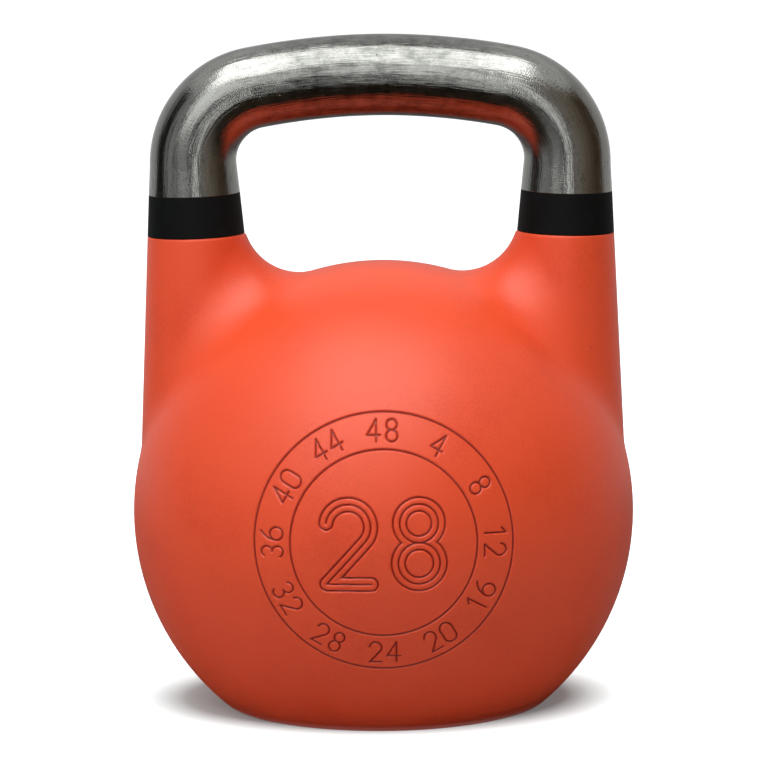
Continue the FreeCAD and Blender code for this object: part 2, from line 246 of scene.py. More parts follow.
def place_at(vertices: Sequence[BMVert], places: np.ndarray) -> None:
    """Moves each vertex to its row of the array."""
    for vertex, place in zip(vertices, places):
        vertex.co = place


def lengths(rows: np.ndarray) -> np.ndarray:
    """The length of each row, as a column."""
    return np.linalg.norm(rows, axis=1, keepdims=True)


def extend_loop(mesh: BMesh, loop: list[BMEdge],
                place: Callable[[Vector], Vector]) -> list[BMEdge]:
    """Extrudes an open edge loop by one row of faces.

    Args:
        mesh: The mesh that holds the loop.
        loop: The loop's edges.
        place: Gives the new place of a vertex from its old one.

    Returns:
        The new loop's edges.
    """
    grown = bmesh.ops.extrude_edge_only(mesh, edges=loop)["geom"]
    vertices = {item for item in grown if isinstance(item, BMVert)}
    for vertex in vertices:
        vertex.co = place(vertex.co)
    return [item for item in grown
            if isinstance(item, BMEdge) and vertices.issuperset(item.verts)]


def extend_loops(mesh: BMesh, loop: list[BMEdge],
                 places: Iterable[Callable[[Vector], Vector]]) -> list[BMEdge]:
    """Extrudes an open edge loop once for each place, and returns the last loop's edges."""
    for place in places:
        loop = extend_loop(mesh, loop, place)
    return loop


def move_loop(loop: Iterable[BMEdge], place: Callable[[Vector], Vector]) -> None:
    """Moves the loop's own vertices."""
    for vertex in {vertex for edge in loop for vertex in edge.verts}:
        vertex.co = place(vertex.co)


def close_loop(mesh: BMesh, loop: list[BMEdge]) -> None:
    """Fills an open edge loop with one flat face."""
    bmesh.ops.edgeloop_fill(mesh, edges=loop)


def turn_outline(mesh: BMesh, outline: Sequence[tuple[float, float]],
                 place: Matrix, steps: int) -> None:
    """Makes a solid of revolution from a closed outline.

    Args:
        mesh: The mesh that receives it.
        outline: Pairs of radius and height in the frame.
        place: The frame, whose Z is the axis.
        steps: Faces round the axis.
    """
    corners = [mesh.verts.new(place @ Vector((radius, 0, height)))
               for radius, height in outline]
    edges = [mesh.edges.new((corner, corners[index - 1])) for index, corner in enumerate(corners)]
    bmesh.ops.spin(mesh, geom=corners + edges, cent=place.translation, axis=place.col[2].xyz,
                   angle=math.tau, steps=steps, use_merge=True, use_duplicate=False)


def to_object(mesh: BMesh, name: str) -> Object:
    """Turns a finished bmesh into a smooth object with sharp edges kept.

    Args:
        mesh: The bmesh, which is freed.
        name: The piece's name.

    Returns:
        The new object, linked to the scene.
    """
    data = bpy.data.meshes.new(name)
    bmesh.ops.recalc_face_normals(mesh, faces=mesh.faces)
    mesh.to_mesh(data)
    mesh.free()
    data.shade_smooth()
    data.set_sharp_from_angle(angle=SMOOTH_UNDER)
    piece = bpy.data.objects.new(name, data)
    bpy.context.scene.collection.objects.link(piece)
    return piece


def fused(mesh: BMesh, voxel: float) -> BMesh:
    """Fuses overlapping closed shells into one even skin.

    Args:
        mesh: The shells, which are freed.
        voxel: Edge length of the skin's faces.

    Returns:
        The skin.
    """
    rough = bpy.data.meshes.new("rough")
    mesh.to_mesh(rough)
    mesh.free()
    holder = bpy.data.objects.new("rough", rough)
    bpy.context.scene.collection.objects.link(holder)
    remesh = holder.modifiers.new("Fuse", "REMESH")
    remesh.mode = "VOXEL"
    remesh.voxel_size = voxel
    evaluated = holder.evaluated_get(bpy.context.evaluated_depsgraph_get())
    skin = bmesh.new()
    skin.from_mesh(evaluated.to_mesh())
    evaluated.to_mesh_clear()
    bpy.data.objects.remove(holder)
    bpy.data.meshes.remove(rough)
    return skin


# ----------------------------------------------------------------------- engraved dial


@dataclass(frozen=True)
class Line:
    """A straight stroke of the engraving cutter."""

    start: tuple[float, float]
    end: tuple[float, float]

    def distance(self, points: np.ndarray) -> np.ndarray:
        """How far each point lies from the stroke."""
        start, end = np.array(self.start), np.array(self.end)
        run = end - start
        share = np.clip((points - start) @ run / (run @ run), 0, 1)
        return np.linalg.norm(points - start - share[:, None] * run, axis=1)


@dataclass(frozen=True)
class Arc:
    """A round stroke of the engraving cutter, with its angles in degrees."""

    centre: tuple[float, float]
    radius: float
    start: float = 0
    sweep: float = 360

    def distance(self, points: np.ndarray) -> np.ndarray:
        """How far each point lies from the stroke."""
        offset = points - np.array(self.centre)
        turned = np.degrees(np.arctan2(offset[:, 1], offset[:, 0])) - self.start
        on_arc = np.mod(turned, 360) <= self.sweep
        nearest_end = np.min([np.linalg.norm(points - self.end(angle), axis=1)
                              for angle in (self.start, self.start + self.sweep)], axis=0)
        return np.where(on_arc, np.abs(np.linalg.norm(offset, axis=1) - self.radius),
                        nearest_end)

    def end(self, angle: float) -> np.ndarray:
        """The point of the circle at an angle."""
        turn = math.radians(angle)
        return np.array(self.centre) + self.radius * np.array((math.cos(turn), math.sin(turn)))


# The figures that the dial needs, in single strokes, in a box 1 high and 0.6 wide that is
# centred on the origin.
FIGURE_WIDTH = 0.6
FIGURES: dict[str, tuple[Line | Arc, ...]] = {
    "0": (Arc((0, 0.2), 0.3, 0, 180), Arc((0, -0.2), 0.3, 180, 180),
          Line((-0.3, 0.2), (-0.3, -0.2)), Line((0.3, 0.2), (0.3, -0.2))),
    "1": (Line((0.05, 0.5), (0.05, -0.5)), Line((0.05, 0.5), (-0.17, 0.3))),
    "2": (Arc((0, 0.22), 0.28, -42, 212), Line((0.208, 0.033), (-0.272, -0.5)),
          Line((-0.272, -0.5), (0.28, -0.5))),
    "3": (Arc((0, 0.255), 0.245, -90, 240), Arc((0, -0.245), 0.255, -150, 240)),
    "4": (Line((0.12, -0.5), (0.12, 0.5)), Line((0.12, 0.5), (-0.3, -0.2)),
          Line((-0.3, -0.2), (0.3, -0.2))),
    "6": (Arc((0, -0.2), 0.3), Arc((0.493, -0.2), 0.793, 118, 62)),
    "8": (Arc((0, 0.26), 0.24), Arc((0, -0.24), 0.26)),
}


@dataclass(frozen=True)
class Number:
    """A number cut in single strokes.

    Attributes:
        text: Its figures.
        centre: Its middle on the dial.
        height: Height of a figure.
        gap: Clear way between two figures.
        turn: Its lean to the left, in radians.
    """

    text: str
    centre: tuple[float, float]
    height: float
    gap: float
    turn: float = 0

    def distance(self, points: np.ndarray) -> np.ndarray:
        """How far each point lies from the number's strokes."""
        cosine, sine = math.cos(self.turn), math.sin(self.turn)
        level = (points - np.array(self.centre)) @ np.array(((cosine, -sine), (sine, cosine)))
        pitch = FIGURE_WIDTH * self.height + self.gap
        first = -(len(self.text) - 1) / 2
        nearest = [stroke.distance((level - ((first + index) * pitch, 0)) / self.height)
                   for index, figure in enumerate(self.text) for stroke in FIGURES[figure]]
        return np.min(nearest, axis=0) * self.height


@dataclass(frozen=True)
class Dial:
    """The engraved dial on the ball's front: two rings, numbers between them, one inside.

    Attributes:
        lift: Its axis above the level, as an angle.
        outer_ring: Radius of the outer ring, square to the axis.
        inner_ring: Radius of the inner ring.
        groove: Half of the cutter's width at the surface.
        depth: Depth of the cut.
        number_height: Height of the figures between the rings.
        number_gap: Clear way between the figures of one number.
        middle_height: Height of the figures in the middle.
        middle_gap: Clear way between them.
        middle_outline: From their inner stroke to their outline.
        numbers: The numbers round the dial, clockwise from the top.
        middle: The number inside.
    """

    lift: float = math.radians(2.25)
    outer_ring: float = 51.8 * MM
    inner_ring: float = 37.4 * MM
    groove: float = 0.55 * MM
    depth: float = 0.7 * MM
    number_height: float = 8.6 * MM
    number_gap: float = 2.1 * MM
    middle_height: float = 32 * MM
    middle_gap: float = 9 * MM
    middle_outline: float = 2.7 * MM
    numbers: tuple[str, ...] = tuple(str(4 * step) for step in (12, *range(1, 12)))
    middle: str = "28"

    def flat(self, points: np.ndarray, centre: Vector) -> np.ndarray:
        """Places on the dial, seen along its axis.

        Args:
            points: Rows of points on the ball.
            centre: The ball's centre.

        Returns:
            Rows of places, to the right and up from the dial's centre.
        """
        right = np.array((1.0, 0.0, 0.0))
        up = np.array((0.0, math.sin(self.lift), math.cos(self.lift)))
        return (points - np.array(centre)) @ np.array((right, up)).T

    def faces_front(self, points: np.ndarray, centre: Vector) -> np.ndarray:
        """Which points lie in front, inside the dial's rim."""
        across = np.linalg.norm(self.flat(points, centre), axis=1)
        return (points[:, 1] < centre.y) & (across < self.outer_ring + 4 * self.groove)

    def distance(self, places: np.ndarray) -> np.ndarray:
        """How far each place lies from the middle of the nearest groove."""
        across = np.linalg.norm(places, axis=1)
        nearest = [np.abs(across - self.outer_ring), np.abs(across - self.inner_ring)]
        nearest += [number.distance(places) for number in self._round_numbers()]
        middle = Number(self.middle, (0, 0), self.middle_height, self.middle_gap)
        inline = middle.distance(places)
        nearest += [inline, np.abs(inline - self.middle_outline)]
        return np.min(nearest, axis=0)

    def _round_numbers(self) -> Iterable[Number]:
        """The numbers between the rings, each kept upright."""
        radius = (self.outer_ring + self.inner_ring) / 2
        for index, text in enumerate(self.numbers):
            angle = math.tau / 4 - index * math.tau / len(self.numbers)
            centre = (radius * math.cos(angle), radius * math.sin(angle))
            upright = angle - math.tau / 4
            if centre[1] < -self.number_height:
                upright += math.pi
            yield Number(text, centre, self.number_height, self.number_gap, upright)

    def cut(self, points: np.ndarray, centre: Vector) -> np.ndarray:
        """How deep the cutter went at each point, as a column."""
        places = self.flat(points, centre)
        share = np.clip(self.distance(places) / self.groove, 0, 1)
        return (self.depth * (1 - share**2))[:, None]


# --------------------------------------------------------------------------- finishes


def hex_colour(code: str) -> tuple[float, float, float, float]:
    """Turns an sRGB hex code such as "#c04020" into a linear colour."""
    shares = [int(code[start:start + 2], 16) / 255 for start in (1, 3, 5)]
    linear = [share / 12.92 if share <= 0.04045 else ((share + 0.055) / 1.055) ** 2.4
              for share in shares]
    return (*linear, 1.0)


def per_metre(size: float) -> float:
    """The texture scale that gives features of a size in metres."""
    return 1 / size


def add_node(tree: NodeTree, kind: str, inputs: dict[str | int, object] | None = None,
             stops: Sequence[tuple[float, str]] = (), **settings: object) -> Node:
    """Adds a node to a tree.

    Args:
        tree: The node tree.
        kind: The node's type, without "ShaderNode".
        inputs: For each input, a value to set on it, or what to link to it: an output
            socket, or a node, which stands for its first output in use.
        stops: A colour ramp's pairs of position and sRGB hex colour.
        **settings: The node's own properties.

    Returns:
        The new node.
    """
    node = tree.nodes.new(f"ShaderNode{kind}")
    for name, value in settings.items():
        setattr(node, name, value)
    for key, value in (inputs or {}).items():
        if isinstance(value, Node):
            value = next(output for output in value.outputs if output.enabled)
        if isinstance(value, NodeSocket):
            tree.links.new(value, node.inputs[key])
        else:
            node.inputs[key].default_value = value
    if stops:
        elements = node.color_ramp.elements
        while len(elements) < len(stops):
            elements.new(0.5)
        for element, (position, code) in zip(elements, stops):
            element.position, element.color = position, hex_colour(code)
    return node


def make_material(name: str, surface: Callable[[NodeTree], Node]) -> Material:
    """Makes a material.

    Args:
        name: Its name, after the real surface.
        surface: Adds its nodes to the tree and returns the last one.

    Returns:
        The material.
    """
    material = bpy.data.materials.new(name)
    material.use_nodes = True
    tree = material.node_tree
    tree.nodes.clear()
    add_node(tree, "OutputMaterial", {"Surface": surface(tree)})
    return material


@dataclass(frozen=True)
class Finish:
    """A surface finish.  Each kind below draws its own patterns.

    Attributes:
        name: The material's name, after the real surface.
    """

    name: str

    def material(self) -> Material:
        """Builds the material."""
        return make_material(self.name, lambda tree: add_node(
            tree, "BsdfPrincipled", self.draw(tree, self.place(tree))))

    def dress(self, piece: Object) -> None:
        """Gives a new piece this finish."""
        piece.data.materials.clear()
        piece.data.materials.append(self.material())

    def place(self, tree: NodeTree) -> NodeSocket:
        """The place on the piece, which the patterns are laid out by."""
        return add_node(tree, "TexCoord").outputs["Object"]

    def draw(self, tree: NodeTree, place: NodeSocket) -> dict[str, object]:
        """Adds this finish's patterns.

        Args:
            tree: The node tree.
            place: The place on the piece.

        Returns:
            What goes into each of the shader's inputs.
        """
        raise NotImplementedError

    def _marks(self, tree: NodeTree, place: NodeSocket,
               sizes: tuple[float, float, float], chance: tuple[float, float],
               strength: float) -> Node:
        """Scatters small round marks here and there.

        Args:
            tree: The node tree.
            place: The place on the piece.
            sizes: Mean pitch of the spots that may have a mark, the mark's radius, and the
                radius inside which it is full.
            chance: A spot whose draw is under the first has no mark, over the second a full one.
            strength: How strong a full mark is.

        Returns:
            The node that gives a mark's strength.
        """
        pitch, radius, core = sizes
        spots = add_node(tree, "TexVoronoi", {"Vector": place, "Scale": per_metre(pitch)})
        near = add_node(tree, "MapRange",
                        {"Value": spots.outputs["Distance"], "From Min": core / pitch,
                         "From Max": radius / pitch, "To Min": 1, "To Max": 0})
        draw = add_node(tree, "SeparateColor", {"Color": spots.outputs["Color"]})
        rare = add_node(tree, "MapRange", {"Value": draw, "From Min": chance[0],
                                           "From Max": chance[1], "To Max": strength})
        return add_node(tree, "Math", {0: near, 1: rare}, operation="MULTIPLY")

    def _relief(self, tree: NodeTree,
                *layers: tuple[Node, float]) -> Node:
        """Presses patterns into the surface, one over the other.

        Args:
            tree: The node tree.
            *layers: Pairs of pattern and height, which is under 0 where the pattern is a hollow.

        Returns:
            The node that gives the normal.
        """
        face = None
        for pattern, height in layers:
            below = {} if face is None else {"Normal": face}
            face = add_node(tree, "Bump", {"Height": pattern, "Distance": abs(height),
                                           "Strength": 1, **below}, invert=height < 0)
        return face


@dataclass(frozen=True)
class PowderCoat(Finish):
    """Polyester powder coat, sprayed and baked on a shot-blasted casting.

    The film flows out to a satin skin with a faint orange peel, so highlights are broad and
    soft.  Where the film is thin, over edges and sand grains, it looks a little deeper.
    The real peel and grit are finer: they are drawn as coarse as they need to show.
    """

    colour: str = "#e94c22"
    deep: str = "#de431a"
    # The groove colour is partly the deeper tone of film pooled in the engraving, partly painted
    # shade.
    groove: str = "#8e1e0c"
    speck: str = "#5a1a10"
    roughness: float = 0.44
    gloss: float = 0.42
    peel_width: float = 1.9 * MM
    peel_height: float = 0.045 * MM
    grain_width: float = 0.45 * MM
    grain_height: float = 0.012 * MM
    cloud_width: float = 38 * MM
    grit_width: float = 0.9 * MM
    speck_pitch: float = 15 * MM
    speck_radius: float = 0.4 * MM
    speck_core: float = 0.2 * MM

    def draw(self, tree: NodeTree, place: NodeSocket) -> dict[str, object]:
        """Adds the film's clouds, specks and orange peel, and its darker grooves: partly pooled
        film, partly painted shade.
        """
        clouds, grit, peel, grain = (
            add_node(tree, "TexNoise", {"Vector": place, "Scale": per_metre(width),
                                        "Detail": detail, "Roughness": rough})
            for width, detail, rough in ((self.cloud_width, 4, 0.6), (self.grit_width, 2, 0.7),
                                         (self.peel_width, 1.5, 0.5), (self.grain_width, 1, 0.5)))
        film = add_node(tree, "Math", {0: clouds, 1: grit}, operation="ADD")
        film = add_node(tree, "ValToRGB", {"Fac": film}, ((0.7, self.deep), (1.0, self.colour)))
        specks = self._marks(tree, place, (self.speck_pitch, self.speck_radius, self.speck_core),
                             (0.55, 0.6), 0.75)
        # Darkens the grooves by their cut depth: partly thicker film pooled there, partly painted
        # shade.
        depth = add_node(tree, "Attribute", attribute_name=PaintedBody.ENGRAVED).outputs["Fac"]
        cut = add_node(tree, "MapRange", {"Value": depth, "From Min": 0.3, "From Max": 0.9})
        for share, code in ((specks, self.speck), (cut, self.groove)):
            film = add_node(tree, "Mix", {"Factor": share, 6: film, 7: hex_colour(code)},
                            data_type="RGBA")
        rough = add_node(tree, "MapRange",
                         {"Value": clouds, "From Min": 0.3, "From Max": 0.7,
                          "To Min": self.roughness - 0.03, "To Max": self.roughness + 0.03})
        skin = self._relief(tree, (peel, self.peel_height), (grain, self.grain_height))
        return {"Base Color": film, "Roughness": rough, "Specular IOR Level": self.gloss,
                "Normal": skin}


@dataclass(frozen=True)
class GroundCastSteel(Finish):
    """Cast steel, ground by hand with a flap wheel and left bare.

    The wheel leaves shallow flats and streaks that break up every reflection, the metal is
    mottled where the wheel pressed harder, and small casting pores stay open and dark.
    The real streaks are finer: they are drawn as coarse as they need to show.
    """

    light: str = "#868783"
    dark: str = "#565754"
    pore: str = "#15120f"
    roughness: float = 0.13
    mottle_width: float = 5 * MM
    streak_width: float = 0.6 * MM
    streak_stretch: float = 14
    streak_height: float = 0.055 * MM
    scratch_width: float = 0.45 * MM
    scratch_stretch: float = 2.5
    scratch_height: float = 0.06 * MM
    scratch_start: float = 30 * MM
    scratch_full: float = 62 * MM
    flat_width: float = 2.4 * MM
    flat_height: float = 0.12 * MM
    pore_pitch: float = 13 * MM
    pore_radius: float = 0.55 * MM
    pore_core: float = 0.22 * MM
    pore_depth: float = 0.5 * MM

    def place(self, tree: NodeTree) -> NodeSocket:
        """The place on the bar as if it were straight, so that patterns follow its bends."""
        return add_node(tree, "Attribute", attribute_name=BareGrip.STRAIGHT).outputs["Vector"]

    def draw(self, tree: NodeTree, place: NodeSocket) -> dict[str, object]:
        """Adds the mottling, the streaks along the bar, the scratches across it and the pores."""
        squeeze = 1 / self.scratch_stretch
        lengthwise = add_node(tree, "Mapping",
                              {"Vector": place, "Scale": (1 / self.streak_stretch, 1, 1)})
        crosswise = add_node(tree, "Mapping", {"Vector": place, "Scale": (1, squeeze, squeeze)})
        mottle, streak, flats, scratch = (
            add_node(tree, "TexNoise", {"Vector": where, "Scale": per_metre(width),
                                        "Detail": detail, "Roughness": rough})
            for where, width, detail, rough in (
                (place, self.mottle_width, 6, 0.65), (lengthwise, self.streak_width, 3, 0.6),
                (lengthwise, self.flat_width, 2, 0.5), (crosswise, self.scratch_width, 2, 0.6)))
        along = add_node(tree, "SeparateXYZ", {"Vector": place})
        aside = add_node(tree, "Math", {0: along}, operation="ABSOLUTE")
        bent = add_node(tree, "MapRange",
                        {"Value": aside, "From Min": self.scratch_start,
                         "From Max": self.scratch_full, "To Min": 0.25, "To Max": 1})
        scratch = add_node(tree, "Math", {0: scratch, 1: bent}, operation="MULTIPLY")
        worked = add_node(tree, "Mix", {0: 0.45, 2: mottle, 3: streak})
        worked = add_node(tree, "Mix", {0: 0.35, 2: worked, 3: scratch})
        metal = add_node(tree, "ValToRGB", {"Fac": worked},
                         ((0.3, self.dark), (0.48, self.light)))
        pores = self._marks(tree, place, (self.pore_pitch, self.pore_radius, self.pore_core),
                            (0.5, 0.55), 1)
        metal = add_node(tree, "Mix", {"Factor": pores, 6: metal, 7: hex_colour(self.pore)},
                         data_type="RGBA")
        pressed = add_node(tree, "Math", {0: mottle, 1: streak}, operation="ADD")
        rough = add_node(tree, "MapRange",
                         {"Value": pressed, "From Min": 0.7, "From Max": 1.3,
                          "To Min": self.roughness - 0.07, "To Max": self.roughness + 0.1})
        face = self._relief(tree, (flats, self.flat_height), (streak, self.streak_height),
                            (scratch, self.scratch_height), (pores, -self.pore_depth))
        return {"Base Color": metal, "Metallic": 1, "Roughness": rough, "Normal": face}


@dataclass(frozen=True)
class PatchyFinish(Finish):
    """A finish whose two shades lie in soft patches, under a fine relief.

    Attributes:
        shades: Its two shades.
        turning: The shares of the pattern where the first shade ends and the second starts.
        roughness: The roughness of each shade.
        patch_width: Width of a patch.
        patch_detail: How many times over the patches' edges break up.
        patch_break: How strongly they do.
        relief_width: Width of the relief's grain, or pitch of its rings.
        relief_height: Its height.
        turned: Whether the relief is a lathe tool's rings about Z, and not a grain.
        metallic: 1 for metal, 0 for the rest.
        gloss: The specular level.
    """

    shades: tuple[str, str] = ("#060707", "#0b0d0e")
    turning: tuple[float, float] = (0.4, 0.7)
    roughness: tuple[float, float] = (0.59, 0.73)
    patch_width: float = 9 * MM
    patch_detail: float = 5
    patch_break: float = 0.65
    relief_width: float = 0.5 * MM
    relief_height: float = 0.012 * MM
    turned: bool = False
    metallic: float = 0
    gloss: float = 0.1

    def draw(self, tree: NodeTree, place: NodeSocket) -> dict[str, object]:
        """Adds the patches and the relief."""
        patches = add_node(tree, "TexNoise",
                           {"Vector": place, "Scale": per_metre(self.patch_width),
                            "Detail": self.patch_detail, "Roughness": self.patch_break})
        shade = add_node(tree, "ValToRGB", {"Fac": patches},
                         tuple(zip(self.turning, self.shades)))
        rough = add_node(tree, "MapRange",
                         {"Value": patches, "From Min": 0.3, "From Max": 0.7,
                          "To Min": self.roughness[0], "To Max": self.roughness[1]})
        if self.turned:
            relief = add_node(tree, "TexWave",
                              {"Vector": place, "Distortion": 0.4,
                               "Scale": per_metre(self.relief_width) / math.tau},
                              wave_type="RINGS", rings_direction="Z").outputs["Fac"]
        else:
            relief = add_node(tree, "TexNoise", {"Vector": place, "Detail": 2,
                                                 "Scale": per_metre(self.relief_width)})
        return {"Base Color": shade, "Metallic": self.metallic, "Roughness": rough,
                "Specular IOR Level": self.gloss,
                "Normal": self._relief(tree, (relief, self.relief_height))}


@dataclass(frozen=True)
class MouldedPolymer(PatchyFinish):
    """Rubber or plastic, moulded or drawn to a plain skin.

    A fine even grain keeps it matt, and handling leaves faint paler smudges.
    """


@dataclass(frozen=True)
class TurnedSteel(PatchyFinish):
    """Steel faced on a lathe: fine rings about the part's axis, stained a little by oil."""

    shades: tuple[str, str] = ("#6c6c6b", "#8f9092")
    turning: tuple[float, float] = (0.35, 0.6)
    roughness: tuple[float, float] = (0.28, 0.44)
    patch_width: float = 11 * MM
    patch_break: float = 0.5
    relief_width: float = 0.6 * MM
    relief_height: float = 0.015 * MM
    turned: bool = True
    metallic: float = 1
    gloss: float = 0.5


@dataclass(frozen=True)
class BlackenedSteel(PatchyFinish):
    """Screws and bolts in black oxide: nearly black, oily, browner where it has worn."""

    shades: tuple[str, str] = ("#2b2a29", "#4b443c")
    turning: tuple[float, float] = (0.5, 0.72)
    roughness: tuple[float, float] = (0.48, 0.32)
    patch_width: float = 3 * MM
    patch_detail: float = 4
    patch_break: float = 0.5
    relief_width: float = 0.4 * MM
    relief_height: float = 0.01 * MM
    metallic: float = 1
    gloss: float = 0.5


# ---------------------------------------------------------------------- painted casting


@dataclass(frozen=True)
class CastSurface:
    """The casting's outside: a ball, two tapered horns and a rolling-ball blend between.

    Attributes:
        shape: The casting's sizes.
        spine_points: How many places of the rolling ball are worked out round each root.
    """

    shape: BellShape
    spine_points: int = 1440

    def settle(self, points: np.ndarray) -> np.ndarray:
        """Brings points onto the outside.

        Args:
            points: Rows of points within a few millimetres of it.

        Returns:
            Rows of points on it.
        """
        shape = self.shape
        centre = np.array(shape.ball_centre)
        blend = shape.root_fillet
        mirror = np.where(points[:, :1] < 0, -1.0, 1.0) * (1, 0, 0) + (0, 1, 1)
        near = points * mirror
        outwards = (near - centre) / lengths(near - centre)
        on_ball = centre + outwards * shape.ball_radius
        height, normal = self._above_horn(near)
        on_horn = near - height * normal
        over_ball = lengths(near - centre) - shape.ball_radius
        to_ball = (np.abs(over_ball) < np.abs(height)) | (near[:, 2:] < centre[2])
        clear_of_horn = self._above_horn(on_ball + outwards * blend)[0] >= blend
        clear_of_ball = lengths(on_horn + normal * blend - centre) >= shape.ball_radius + blend
        settled = np.where(to_ball, on_ball, on_horn)
        rolled = np.where(to_ball, ~clear_of_horn & (near[:, 2:] > centre[2]),
                          ~clear_of_ball)[:, 0]
        settled[rolled] = self._rolled(near[rolled])
        return settled * mirror

    def _above_horn(self, points: np.ndarray) -> tuple[np.ndarray, np.ndarray]:
        """Each point's height over the right horn's cone, and the cone's normal there."""
        horn = self.shape.horn(Side.RIGHT)
        axis = np.array(horn.direction)
        offset = points - np.array(horn.foot)
        along = offset @ axis[:, None]
        radial = offset - along * axis
        cosine = 1 / math.hypot(1, horn.slope)
        height = (lengths(radial) - (horn.foot_radius - horn.slope * along)) * cosine
        normal = (radial / lengths(radial) + horn.slope * axis) * cosine
        return height, normal

    def _spine(self) -> np.ndarray:
        """The rolling ball's centres, as it rolls round between the ball and the right horn."""
        shape, horn = self.shape, self.shape.horn(Side.RIGHT)
        blend = shape.root_fillet
        turns = np.linspace(0, math.tau, self.spine_points, endpoint=False)[:, None]
        axis = np.array(horn.direction)
        across = np.array(BACKWARDS.cross(horn.direction))
        spokes = np.cos(turns) * across + np.sin(turns) * np.array(BACKWARDS)
        reach = horn.foot_radius + blend * math.hypot(1, horn.slope)
        start = np.array(horn.foot - shape.ball_centre) + reach * spokes
        run = axis - horn.slope * spokes
        square = (run * run).sum(axis=1, keepdims=True)
        half = (start * run).sum(axis=1, keepdims=True)
        rest = (start * start).sum(axis=1, keepdims=True) - (shape.ball_radius + blend) ** 2
        along = (np.sqrt(half**2 - square * rest) - half) / square
        return np.array(shape.ball_centre) + start + along * run

    def _rolled(self, points: np.ndarray) -> np.ndarray:
        """Brings points onto the blend."""
        spine = self._spine()
        nearest = np.array([spine[np.argmin(((spine - point) ** 2).sum(axis=1))]
                            for point in points]).reshape(-1, 3)
        inwards = points - nearest
        return nearest + inwards / lengths(inwards) * self.shape.root_fillet


